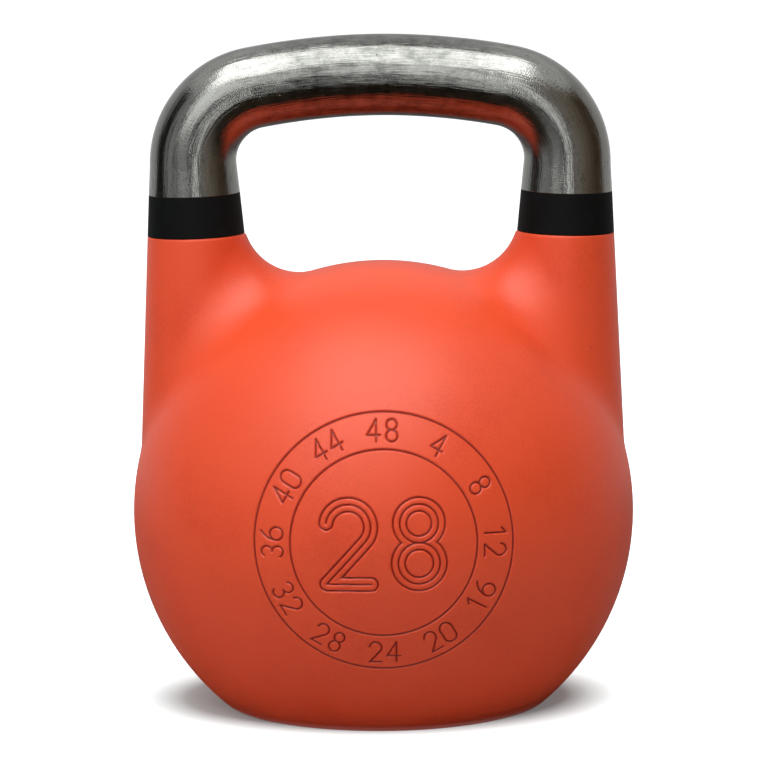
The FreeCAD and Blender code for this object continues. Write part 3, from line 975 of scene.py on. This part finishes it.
@dataclass
class PaintedBody:
    """The powder-coated part of the casting: ball, horns up to their sleeves, and inside.

    Attributes:
        shape: The casting's sizes.
        dial: The engraving on its front.
        finish: Its powder coat.
        voxel: Edge length of the skin's faces.
        fine_reach: How far above and below a sleeve's foot the faces are halved.
        groove_margin: How far beside a groove they are, in their own lengths.
    """

    # Each vertex's share of the dial's cut depth; the coat darkens the grooves by it, partly as
    # painted shade.
    ENGRAVED = "engraved"

    shape: BellShape
    dial: Dial = field(default_factory=Dial)
    finish: Finish = PowderCoat("powder_coat_orange_red")
    voxel: float = 2.8 * MM
    fine_reach: float = 14 * MM
    groove_margin: float = 0.65
    relax_rounds: int = 4
    relax_steps: int = 3
    horn_overlap: float = 10 * MM
    cut_snap: float = 0.25 * MM
    edge_round: float = 0.25 * MM
    rim_steps: int = 6
    rim_width: float = 23 * MM
    recess_depth: float = 2.5 * MM
    recess_round: float = 1 * MM
    well_radius: float = 31.2 * MM
    ledge_height: float = 15.5 * MM
    port_radius: float = 26 * MM
    lip_thickness: float = 5 * MM
    wall_thickness: float = 32.9 * MM
    cavity_steps: int = 18
    screw_count: int = 3
    screw_circle: float = 31.1 * MM
    screw_hole: float = 3.1 * MM
    screw_hole_top: float = 12.1 * MM
    drill_point: float = 0.6 * MM

    def build(self) -> Object:
        """Models and dresses the painted casting.

        Returns:
            The piece, riding on the bell.
        """
        surface = CastSurface(self.shape)
        mesh = self._rough_shells()
        for _ in range(2):
            mesh = fused(mesh, self.voxel)
            self._relax(mesh, surface)
        self._refine_horns(mesh, surface)
        self._engrave(mesh, surface)
        for side in Side:
            self._finish_horn(mesh, side)
        self._hollow_underside(mesh)
        piece = to_object(mesh, "painted_body")
        self.finish.dress(piece)
        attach(piece, "root")
        return piece

    def _rough_shells(self) -> BMesh:
        """A ball and two cones that overlap."""
        mesh = bmesh.new()
        shape = self.shape
        bmesh.ops.create_uvsphere(mesh, u_segments=128, v_segments=64,
                                  radius=shape.ball_radius,
                                  matrix=Matrix.Translation(shape.ball_centre))
        for side in Side:
            horn = shape.horn(side)
            length = shape.horn_length + self.horn_overlap
            bmesh.ops.create_cone(mesh, cap_ends=True, segments=96,
                                  radius1=horn.radius(-self.horn_overlap),
                                  radius2=horn.radius(shape.horn_length), depth=length,
                                  matrix=horn.place((shape.horn_length - self.horn_overlap) / 2))
        return mesh

    def _relax(self, mesh: BMesh, surface: CastSurface) -> None:
        """Evens out the skin's faces while it settles on the casting's outside."""
        for _ in range(self.relax_rounds):
            for _ in range(self.relax_steps):
                bmesh.ops.smooth_vert(mesh, verts=mesh.verts, factor=0.5, use_axis_x=True,
                                      use_axis_y=True, use_axis_z=True)
            self._settle(surface, mesh.verts)

    def _settle(self, surface: CastSurface, vertices: Iterable[BMVert]) -> None:
        """Brings the vertices below the horns' tops onto the casting's outside."""
        horn = self.shape.horn(Side.RIGHT)
        top = horn.point(self.shape.band_head).z
        chosen = [vertex for vertex in vertices if vertex.co.z < top]
        place_at(chosen, surface.settle(coordinates(chosen)))

    def _refine(self, mesh: BMesh, surface: CastSurface,
                wanted: Callable[[np.ndarray], np.ndarray]) -> None:
        """Halves the faces that have a wanted corner, and settles the new corners.

        Args:
            mesh: The skin.
            surface: What the new corners settle on.
            wanted: Tells for each row of points whether faces there are halved.
        """
        mesh.verts.index_update()
        flags = wanted(coordinates(mesh.verts))
        edges = {edge for face in mesh.faces if any(flags[v.index] for v in face.verts)
                 for edge in face.edges}
        split = bmesh.ops.subdivide_edges(mesh, edges=list(edges), cuts=1, use_grid_fill=True)
        self._settle(surface, [item for item in split["geom_inner"]
                               if isinstance(item, BMVert)])

    def _refine_horns(self, mesh: BMesh, surface: CastSurface) -> None:
        """Halves the faces of the horns, which are rounder than the ball."""
        shape = self.shape
        foot = shape.horn(Side.RIGHT).point(shape.band_foot).z
        self._refine(mesh, surface, lambda points: (np.abs(points[:, 2] - foot) < self.fine_reach)
                     & (np.abs(points[:, 0]) > shape.corner_centre.x))

    def _cut_off(self, mesh: BMesh, parts: list, point: Vector,
                 outwards: Vector) -> list[BMEdge]:
        """Cuts the skin with a plane and drops what lies beyond it.

        Args:
            mesh: The skin.
            parts: The vertices, edges and faces to cut.
            point: A point of the plane.
            outwards: The plane's normal, towards what is dropped.

        Returns:
            The edges of the open loop that the cut leaves.
        """
        cut = bmesh.ops.bisect_plane(mesh, geom=parts, dist=self.cut_snap, plane_co=point,
                                     plane_no=outwards, use_snap_center=True,
                                     clear_outer=True)["geom_cut"]
        return [item for item in cut if isinstance(item, BMEdge)
                and item.is_valid and item.is_boundary]

    def _finish_horn(self, mesh: BMesh, side: Side) -> None:
        """Cuts the horn off at the sleeve's foot and adds the sleeve's seat."""
        shape = self.shape
        horn = shape.horn(side)
        edge = shape.band_foot - shape.band_bond
        faces = [face for face in mesh.faces if face.calc_center_median().x * side.value > 0]
        parts = {part for face in faces for part in (*face.verts, *face.edges)}
        loop = self._cut_off(mesh, [*parts, *faces], horn.point(edge - self.edge_round),
                             horn.direction)

        def ring(along: float, radius: float) -> Callable[[Vector], Vector]:
            """Places a vertex on a circle round the horn."""
            def place(old: Vector) -> Vector:
                offset = old - horn.foot
                radial = offset - horn.direction * offset.dot(horn.direction)
                return horn.point(along) + radial.normalized() * radius
            return place

        move_loop(loop, ring(edge - self.edge_round, horn.radius(edge - self.edge_round)))
        steps = ((edge, self.edge_round), (edge, shape.seat_depth),
                 (shape.band_middle, shape.seat_depth))
        close_loop(mesh, extend_loops(mesh, loop, (ring(along, horn.radius(along) - sunk)
                                                   for along, sunk in steps)))

    def _hollow_underside(self, mesh: BMesh) -> None:
        """Rounds the base's rim, then hollows the underside, the plug's well and the ball."""
        shape = self.shape
        rounding = shape.base_edge_round
        height = shape.ball_centre.z
        rim = math.sqrt((shape.ball_radius - rounding) ** 2 - (height - rounding) ** 2)
        tangent = math.atan2(rounding - height, rim)
        touch = shape.ball_centre.z + shape.ball_radius * math.sin(tangent)
        loop = self._cut_off(mesh, [*mesh.verts, *mesh.edges, *mesh.faces],
                             Vector((0, 0, touch)), -UPWARDS)
        notches = [math.tau / 4 + index * math.tau / self.screw_count
                   for index in range(self.screw_count)]

        def ring(radius: float, level: float, notched: bool = False) -> Callable[[Vector], Vector]:
            """Places a vertex on a level circle, which the lock screws' holes may notch."""
            def place(old: Vector) -> Vector:
                angle = math.atan2(old.y, old.x)
                out = radius
                for notch in notches if notched else ():
                    aside = self.screw_circle * abs(math.sin(angle - notch))
                    if aside < self.screw_hole and math.cos(angle - notch) > 0:
                        out = max(out, self.screw_circle * math.cos(angle - notch)
                                  + math.sqrt(self.screw_hole**2 - aside**2))
                return Vector((out * math.cos(angle), out * math.sin(angle), level))
            return place

        start = ring(shape.ball_radius * math.cos(tangent), touch)
        move_loop(loop, start)
        bmesh.ops.subdivide_edges(mesh, edges=loop, cuts=1)
        loop = [edge for edge in mesh.edges if edge.is_boundary]
        move_loop(loop, start)
        recess, soft = shape.base_radius - self.rim_width, self.recess_round
        port_top = self.ledge_height + self.lip_thickness
        cavity = shape.ball_radius - self.wall_thickness
        middle = port_top + math.sqrt(cavity**2 - self.port_radius**2)
        lowest = math.asin((port_top - middle) / cavity)
        rises = [lowest + (math.tau / 4 - lowest) * step / self.cavity_steps
                 for step in range(1, self.cavity_steps)]
        circles = (
            *(self._rim_point(rim, tangent, step) for step in range(1, self.rim_steps + 1)),
            (recess + soft, 0), (recess + 0.3 * soft, 0.3 * soft), (recess, soft),
            (recess, self.recess_depth - soft),
            (recess - 0.3 * soft, self.recess_depth - 0.3 * soft),
            (recess - soft, self.recess_depth),
            (self.well_radius, self.recess_depth, True),
            (self.well_radius, self.screw_hole_top, True),
            (self.well_radius, self.screw_hole_top + self.drill_point),
            (self.well_radius, self.ledge_height), (self.port_radius, self.ledge_height),
            (self.port_radius, port_top),
            *((cavity * math.cos(rise), middle + cavity * math.sin(rise)) for rise in rises),
        )
        close_loop(mesh, extend_loops(mesh, loop, (ring(*circle) for circle in circles)))

    def _rim_point(self, rim: float, tangent: float, step: int) -> tuple[float, float]:
        """Radius and height of a step round the base's rim, from the ball to the floor."""
        angle = tangent + (-math.tau / 4 - tangent) * step / self.rim_steps
        rounding = self.shape.base_edge_round
        return rim + rounding * math.cos(angle), rounding + rounding * math.sin(angle)

    def _engrave(self, mesh: BMesh, surface: CastSurface) -> None:
        """Refines the skin near the dial's grooves, then sinks them."""
        centre, dial = self.shape.ball_centre, self.dial
        size = self.voxel

        for _ in range(3):
            reach = dial.groove + self.groove_margin * size

            def wanted(points: np.ndarray) -> np.ndarray:
                """Points near a groove."""
                near = dial.faces_front(points, centre)
                near[near] = dial.distance(dial.flat(points[near], centre)) < reach
                return near
            self._refine(mesh, surface, wanted)
            size /= 2
        # Keeps each vertex's share of the cut depth; the coat darkens grooves by it, partly as
        # painted shade.
        layer = mesh.verts.layers.float.new(self.ENGRAVED)
        front = [vertex for vertex in mesh.verts if vertex.co.y < -0.5 * self.shape.ball_radius]
        points = coordinates(front)
        inside = dial.faces_front(points, centre)
        outwards = (points - np.array(centre)) / lengths(points - np.array(centre))
        cut = inside[:, None] * dial.cut(points, centre)
        place_at(front, points - cut * outwards)
        for vertex, depth in zip(front, cut[:, 0]):
            vertex[layer] = depth / dial.depth


# ------------------------------------------------------------------------- bare grip


@dataclass
class BareGrip:
    """The ground grip bar: from the middle of one sleeve over the arch to the other.

    Attributes:
        shape: The casting's sizes.
        finish: Its ground steel.
        segments: Faces round the bar.
        spacing: Length of a face along the bar.
        edge_round: Rounding beside the sleeves.
        wave_width: Width of the shallow waves that grinding by hand leaves.
        wave_depth: Their greatest depth.
        wave_stretch: Their width as a share of their length, which lies along the bar.
        fade: How far from the sleeves the waves reach their depth.
    """

    STRAIGHT = "straight_bar"

    shape: BellShape
    finish: Finish = GroundCastSteel("ground_cast_steel")
    segments: int = 144
    spacing: float = 0.8 * MM
    edge_round: float = 0.04 * MM
    wave_width: float = 14 * MM
    wave_depth: float = 0.16 * MM
    wave_stretch: float = 0.55
    fade: float = 8 * MM

    def build(self) -> Object:
        """Models and dresses the grip.

        Returns:
            The piece, riding on the bell.
        """
        mesh = bmesh.new()
        straight = mesh.verts.layers.float_vector.new(self.STRAIGHT)
        stations = self._stations()
        first, radius = stations[0]
        place = self._frame(first)
        bmesh.ops.create_circle(mesh, cap_ends=True, segments=self.segments, radius=radius,
                                matrix=place)
        self._mark(mesh.verts, straight, first, place)
        loop = list(mesh.edges)
        for (_, old_radius), (along, radius) in zip(stations, stations[1:]):
            grown = bmesh.ops.extrude_edge_only(mesh, edges=loop)["geom"]
            ring = {item for item in grown if isinstance(item, BMVert)}
            loop = [item for item in grown if isinstance(item, BMEdge)
                    and ring.issuperset(item.verts)]
            old_place, place = place, self._frame(along)
            grow = Matrix.Diagonal((radius / old_radius,) * 3 + (1,))
            bmesh.ops.transform(mesh, matrix=place @ grow @ old_place.inverted(),
                                verts=list(ring))
            self._mark(ring, straight, along, place)
        close_loop(mesh, loop)
        self._grind(mesh, straight)
        piece = to_object(mesh, "bare_grip")
        self.finish.dress(piece)
        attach(piece, "root")
        return piece

    @property
    def _arch_half(self) -> float:
        """Half of the arch's length."""
        return self.shape.arch_radius * self.shape.corner_angle

    @property
    def _corner_sweep(self) -> float:
        """The bend's angle."""
        return math.tau / 4 - self.shape.corner_angle + self.shape.horn_lean

    @property
    def _bend_end(self) -> float:
        """From the bar's middle to the horn's top, along the bar."""
        return self._arch_half + self.shape.corner_radius * self._corner_sweep

    def _stations(self) -> list[tuple[float, float]]:
        """Pairs of distance along the bar from its middle and radius there, left to right."""
        shape, horn = self.shape, self.shape.horn(Side.RIGHT)
        head = shape.band_head + shape.band_bond
        end = self._bend_end + shape.horn_length - shape.band_middle
        edge = self._bend_end + shape.horn_length - head
        right = [(edge - 3 * self.edge_round, horn.radius(head + 3 * self.edge_round)),
                 (edge - self.edge_round, horn.radius(head + self.edge_round)),
                 (edge, horn.radius(head) - self.edge_round),
                 (edge, horn.radius(head) - shape.seat_depth),
                 (end, horn.radius(shape.band_middle) - shape.seat_depth)]
        count = round(2 * edge / self.spacing)
        reach = edge - 3 * self.edge_round
        steps = [reach * (2 * index / count - 1) for index in range(1, count)]
        return ([(-along, radius) for along, radius in reversed(right)]
                + [(along, self._radius(along)) for along in steps] + right)

    def _radius(self, along: float) -> float:
        """The bar's radius at a distance from its middle."""
        shape = self.shape
        aside = abs(along)
        if aside > self._bend_end:
            return shape.horn(Side.RIGHT).radius(shape.horn_length - aside + self._bend_end)
        share = max(0.0, (aside - self._arch_half) / (self._bend_end - self._arch_half))
        return shape.grip_radius + (shape.horn_top_radius - shape.grip_radius) * share

    def _frame(self, along: float) -> Matrix:
        """The frame of the bar's section at a distance from its middle, with Z to the right."""
        shape = self.shape
        aside = abs(along)
        if aside <= self._arch_half:
            angle = math.tau / 4 - aside / shape.arch_radius
            centre, radius = Vector((0, 0, shape.arch_centre_height)), shape.arch_radius
        else:
            angle = (math.tau / 4 - shape.corner_angle
                     - min(aside - self._arch_half, self._bend_end - self._arch_half)
                     / shape.corner_radius)
            centre, radius = shape.corner_centre, shape.corner_radius
        point = centre + radius * Vector((math.cos(angle), 0, math.sin(angle)))
        direction = Vector((math.sin(angle), 0, -math.cos(angle)))
        point += direction * max(0.0, aside - self._bend_end)
        if along < 0:
            point.x *= -1
            direction.z *= -1
        return upright_frame(point, direction)

    def _mark(self, vertices: Iterable[BMVert], layer: BMLayerItem,
              along: float, place: Matrix) -> None:
        """Notes each vertex's place on the bar as if the bar were straight."""
        home = place.inverted()
        for vertex in vertices:
            local = home @ vertex.co
            vertex[layer] = Vector((along, local.x, local.y))

    def _grind(self, mesh: BMesh, layer: BMLayerItem) -> None:
        """Sinks shallow waves and flats into the bar, and none beside the sleeves."""
        edge = self._bend_end + self.shape.horn_length - self.shape.band_head
        for vertex in mesh.verts:
            along, across, back = vertex[layer]
            fade = min(1.0, max(0.0, (edge - abs(along)) / self.fade))
            spot = Vector((along * self.wave_stretch, across, back)) / self.wave_width
            # Noise runs from -1 to 1; the second, finer one breaks up the first.
            depth = 0.5 + 0.5 * noise.noise(spot) + 0.25 * noise.noise(spot * 2.7)
            radial = (self._frame(along).to_3x3() @ Vector((across, back, 0))).normalized()
            vertex.co -= radial * self.wave_depth * fade * min(1.0, max(0.0, depth))


# --------------------------------------------------------------------- sleeves, CAD nodes


@dataclass
class Sleeve:
    """The black sleeve round one horn, flush in its seat.

    Attributes:
        shape: The casting's sizes.
        side: Which horn.
        finish: Its rubber.
        steps: Faces round the horn.
        edge_round: Rounding of its outer edges.
    """

    shape: BellShape
    side: Side
    finish: Finish = MouldedPolymer("matt_black_rubber")
    steps: int = 144
    edge_round: float = 0.12 * MM

    def build(self) -> Object:
        """Models and dresses the sleeve.

        Returns:
            The piece, riding on the bell in place of its CAD node.
        """
        shape, horn = self.shape, self.shape.horn(self.side)
        soft = self.edge_round
        outline = []
        for along, inwards in ((shape.band_foot, 1), (shape.band_head, -1)):
            outer = horn.radius(along)
            level = along - shape.band_foot
            inner = along + 4 * soft * inwards
            corner = [(outer - shape.band_thickness, level), (outer - soft, level),
                      (outer - 0.3 * soft, level + 0.3 * soft * inwards),
                      (outer, level + soft * inwards),
                      (horn.radius(inner), inner - shape.band_foot)]
            outline += corner if inwards > 0 else corner[::-1]
        mesh = bmesh.new()
        turn_outline(mesh, outline, horn.place(shape.band_foot), self.steps)
        name = self.side.name.lower()
        piece = to_object(mesh, f"{name}_sleeve")
        self.finish.dress(piece)
        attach(piece, "root")
        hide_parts(f"{name}_band")
        return piece


@dataclass
class PlugAssembly:
    """What closes and trims the casting from below.  Its shapes are the frame's own."""

    plug: Finish = TurnedSteel("turned_steel")
    ballast: Finish = TurnedSteel("sawn_ballast_steel", shades=("#57534d", "#77736d"),
                                  roughness=(0.39, 0.55))
    fastener: Finish = BlackenedSteel("black_oxide_steel")
    seal: Finish = MouldedPolymer("nitrile_rubber", shades=("#101011", "#19191a"))
    cap: Finish = MouldedPolymer("moulded_black_plastic", shades=("#1a1b1c", "#262728"),
                                 roughness=(0.36, 0.5), relief_width=0.9 * MM)

    def dress(self) -> None:
        """Gives every node of the assembly its finish."""
        finishes = {
            self.plug: ("base_plug",),
            self.ballast: ("ballast_disc_lower", "ballast_disc_middle", "ballast_disc_upper"),
            self.fastener: ("plug_lock_screws", "ballast_bolt", "ballast_nut", "flat_washer",
                            "spring_washer"),
            self.seal: ("plug_gasket", "bolt_seal"),
            self.cap: ("bolt_cap",),
        }
        for finish, names in finishes.items():
            material = finish.material()
            for name in names:
                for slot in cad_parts[name].material_slots:
                    slot.material = material
                LOG.info("%s: %s", name, finish.name)


# -------------------------------------------------------------------------------- studio


@dataclass
class Softbox:
    """A square studio lamp that faces the bell.

    Attributes:
        name: The lamp's name.
        azimuth: Its direction round the bell in degrees, 0 in front and 90 to the right.
        elevation: Its direction above the level in degrees.
        distance: How far off it stands.
        width: Its width.
        height: Its height.
        power: Its power in watts.
        mirrored: Whether the steel and the coat's gloss show it.
        lighting: Whether it lights the bell, and isn't only mirrored in it.
    """

    name: str
    azimuth: float
    elevation: float
    distance: float
    width: float
    height: float
    power: float
    mirrored: bool = True
    lighting: bool = True

    def build(self, target: Vector) -> Object:
        """Adds the lamp.

        Args:
            target: What it faces.

        Returns:
            The lamp.
        """
        azimuth, elevation = math.radians(self.azimuth), math.radians(self.elevation)
        level = math.cos(elevation)
        towards = Vector((math.sin(azimuth) * level, -math.cos(azimuth) * level,
                          math.sin(elevation)))
        data = bpy.data.lights.new(self.name, "AREA")
        data.shape = "RECTANGLE"
        data.size, data.size_y, data.energy = self.width, self.height, self.power
        lamp = bpy.data.objects.new(self.name, data)
        lamp.location = target + towards * self.distance
        lamp.rotation_euler = towards.to_track_quat("Z", "Y").to_euler()
        lamp.visible_glossy = self.mirrored
        lamp.visible_diffuse = self.lighting
        bpy.context.scene.collection.objects.link(lamp)
        return lamp


@dataclass
class Studio:
    """Camera, white world, pale floor, lamps, and the cards that only reflections see.

    Attributes:
        camera_place: Where the camera stands.
        camera_pitch: How far it looks down.
        camera_roll: How far it leans.
        focal_length: Its focal length in millimetres.
        sensor_width: Its sensor's width in millimetres.
        sight: How far it sees.
        white: Colour of the surround and of the floor's glow.
        ambient: How strongly the surround lights the bell, where 1 is how bright it looks.
        floor_reach: Half of the floor's width.
        floor_drop: How far the floor lies under the base, so that the two don't flicker.
        floor_tones: The floor's tone as it lights the bell, and as it is seen.
        shadow_glow: How white the floor glows under the bell, where 1 is white.
        shadow_centre: Moves the dark patch under the bell.
        shadow_shape: Squeezes it.
        shadow_reach: Where the glow starts to rise, and where it is full.
        card_inner: Radius of the hole in the dark floor card.
        card_edge: Its outer radius.
        card_outer: Radius of the side cards.
        card_lift: How far the cards on the floor lie above it.
        card_height: Height of the side cards.
        card_steps: Sides of the cards' circles.
        wall_panels: The side cards' azimuths in degrees and tones.
        floor_panels: The dark floor card's.
        ceiling_panels: The overhead card's.
        card_glow: How brightly a white card glows.
        lamps: The softboxes.
    """

    camera_place: Vector = field(default_factory=lambda: Vector((0.0007, -1.684, 0.381)))
    camera_pitch: float = math.radians(8.37)
    camera_roll: float = math.radians(-0.55)
    focal_length: float = 190.2
    sensor_width: float = 36
    sight: float = 50
    white: str = "#ffffff"
    ambient: float = 0.12
    floor_reach: float = 6.0
    floor_drop: float = 0.1 * MM
    floor_tones: tuple[str, str] = ("#cacaca", "#b6c8c8")
    shadow_glow: float = 0.12
    shadow_centre: tuple[float, float, float] = (0.004, 0, 0)
    shadow_shape: tuple[float, float, float] = (1, 1.4, 1)
    shadow_reach: tuple[float, float] = (0.08, 0.108)
    card_inner: float = 0.07
    card_edge: float = 0.8
    card_outer: float = 2.5
    card_lift: float = 1 * MM
    card_height: float = 2.3
    card_steps: int = 96
    wall_panels: tuple[tuple[float, str], ...] = (
        (-80, "#1c1c1c"), (-73, "#6c6c6c"), (-64, "#7c7c7c"), (-46, "#4c4c4c"), (-34, "#808080"),
        (-18, "#747474"), (-10, "#404040"), (1, "#404040"), (3, "#ffffff"), (7, "#ffffff"),
        (9, "#444240"), (24, "#6a6662"), (44, "#5a5248"), (76, "#382e24"), (98, "#382e24"),
        (108, "#7c7a7a"), (244, "#808080"), (254, "#181818"),
    )
    floor_panels: tuple[tuple[float, str], ...] = (
        (-90, "#241e18"), (90, "#241e18"), (110, "#484444"), (250, "#484444"), (270, "#241e18"),
    )
    ceiling_panels: tuple[tuple[float, str], ...] = ((-90, "#9a9a9a"), (270, "#9a9a9a"))
    card_glow: float = 3.0
    lamps: tuple[Softbox, ...] = (
        Softbox("key_softbox", -10, 68, 1.6, 1.5, 1.42, 27),
        Softbox("low_softbox", -20, 28, 1.7, 1.5, 0.75, 5.6, lighting=False),
        Softbox("left_softbox", -60, 42, 1.7, 1.3, 0.9, 5.5, mirrored=False),
        Softbox("left_fill", -88, 8, 1.8, 1.0, 1.0, 2.7, mirrored=False),
        Softbox("right_fill", 78, 35, 1.8, 1.0, 1.0, 2.2, mirrored=False),
        Softbox("back_fill", 180, 40, 2.0, 1.4, 1.0, 9, mirrored=False),
    )

    def build(self, target: Vector) -> None:
        """Sets up the whole studio.

        Args:
            target: What the lamps face.
        """
        self._camera()
        self._world()
        self._floor()
        self._cards()
        for lamp in self.lamps:
            lamp.build(target)
        bpy.context.scene.view_settings.view_transform = "Standard"

    def _camera(self) -> None:
        """Adds the camera and makes it the scene's own."""
        data = bpy.data.cameras.new("camera")
        data.lens = self.focal_length
        data.sensor_width = self.sensor_width
        data.clip_end = self.sight
        camera = bpy.data.objects.new("camera", data)
        camera.matrix_world = (Matrix.Translation(self.camera_place)
                               @ Matrix.Rotation(math.tau / 4 - self.camera_pitch, 4, "X")
                               @ Matrix.Rotation(self.camera_roll, 4, "Z"))
        bpy.context.scene.collection.objects.link(camera)
        bpy.context.scene.camera = camera

    def _seen(self, tree: NodeTree) -> Node:
        """Adds a switch: 1 for camera, mirror and glass rays, 0 for light."""
        path = add_node(tree, "LightPath").outputs
        either = add_node(tree, "Math", {0: path["Is Camera Ray"], 1: path["Is Glossy Ray"]},
                          operation="MAXIMUM")
        return add_node(tree, "Math", {0: either, 1: path["Is Transmission Ray"]},
                        operation="MAXIMUM")

    def _world(self) -> None:
        """A white surround to look at, and a dim one to be lit by."""
        world = bpy.data.worlds.new("white_surround")
        world.use_nodes = True
        tree = world.node_tree
        tree.nodes.clear()
        light = add_node(tree, "MapRange", {"Value": self._seen(tree), "To Min": self.ambient})
        glow = add_node(tree, "Background", {"Color": hex_colour(self.white), "Strength": light})
        add_node(tree, "OutputWorld", {"Surface": glow})
        bpy.context.scene.world = world

    def _floor(self) -> None:
        """A pale floor that looks white but keeps the bell's shadow."""
        mesh = bmesh.new()
        bmesh.ops.create_grid(mesh, x_segments=4, y_segments=4, size=self.floor_reach,
                              matrix=Matrix.Translation((0, 0, -self.floor_drop)))
        floor = to_object(mesh, "floor")
        floor.data.materials.append(make_material("white_sweep", self._sweep))

    def _sweep(self, tree: NodeTree) -> Node:
        """Adds the floor's paper and its glow, which fades out under the bell."""
        seen = self._seen(tree)
        bounce = add_node(tree, "ValToRGB", {"Fac": seen}, tuple(enumerate(self.floor_tones)))
        paper = add_node(tree, "BsdfDiffuse", {"Color": bounce})
        place = add_node(tree, "TexCoord").outputs["Object"]
        round_base = add_node(tree, "Mapping", {"Vector": place, "Location": self.shadow_centre,
                                                "Scale": self.shadow_shape})
        away = add_node(tree, "VectorMath", {0: round_base}, operation="LENGTH")
        strength = add_node(tree, "MapRange",
                            {"Value": away, "From Min": self.shadow_reach[0],
                             "From Max": self.shadow_reach[1], "To Min": self.shadow_glow})
        shown = add_node(tree, "Math", {0: seen, 1: strength}, operation="MULTIPLY")
        glow = add_node(tree, "Emission", {"Color": hex_colour(self.white), "Strength": shown})
        return add_node(tree, "AddShader", {0: paper, 1: glow})

    def _cards(self) -> None:
        """Stands cards round the bell for its steel to reflect.

        Polished metal shows only its surroundings, so a studio puts grey and dark cards
        round it: here a dark one on the floor, panels round the sides and a grey one
        overhead.  Only reflections see them.
        """
        low, high, outer = self.card_lift, self.card_height, self.card_outer
        for name, panels, (radius, level), rings in (
                ("dark_floor_card", self.floor_panels, (self.card_inner, low),
                 ((self.card_edge, low),)),
                ("side_cards", self.wall_panels, (self.card_edge, low),
                 ((outer, low), (outer, high))),
                ("overhead_card", self.ceiling_panels, (outer, high), ())):
            mesh = bmesh.new()
            bmesh.ops.create_circle(mesh, cap_ends=not rings, segments=self.card_steps,
                                    radius=radius, matrix=Matrix.Translation((0, 0, level)))
            extend_loops(mesh, list(mesh.edges), (
                lambda old, ring=ring: old.xy.normalized().to_3d() * ring[0] + UPWARDS * ring[1]
                for ring in rings))
            self._card(mesh, name, panels)

    def _card(self, mesh: BMesh, name: str,
              panels: Sequence[tuple[float, str]]) -> None:
        """Turns a mesh into a card that only reflections see.

        Args:
            mesh: Its mesh, round the origin.
            name: Its name.
            panels: Pairs of azimuth in degrees, from -90 at the left through 0 in front,
                and sRGB hex brightness.
        """
        stops = [(azimuth / 360 + 0.25, code) for azimuth, code in panels]

        def glow(tree: NodeTree) -> Node:
            """Adds the panels' glow."""
            place = add_node(tree, "TexCoord").outputs["Object"]
            around = add_node(tree, "TexGradient", {"Vector": place},
                              gradient_type="RADIAL").outputs["Fac"]
            tone = add_node(tree, "ValToRGB", {"Fac": around}, stops)
            return add_node(tree, "Emission", {"Color": tone, "Strength": self.card_glow})

        card = to_object(mesh, name)
        card.data.materials.append(make_material(name, glow))
        for way in ("camera", "diffuse", "shadow", "transmission", "volume_scatter"):
            setattr(card, f"visible_{way}", False)


def main() -> None:
    """Builds the bell and its studio, piece by piece."""
    logging.basicConfig(level=logging.INFO, format="%(name)s: %(message)s")
    shape = BellShape()
    shape.check_against_frame()
    Studio().build(shape.ball_centre)
    pieces = [PaintedBody(shape).build(), BareGrip(shape).build()]
    for piece in pieces:
        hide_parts("bell_casting")
    pieces += [Sleeve(shape, side).build() for side in Side]
    for piece in pieces:
        LOG.info("%s: %d faces", piece.name, len(piece.data.polygons))
    PlugAssembly().dress()


if __name__ == "__main__":
    main()
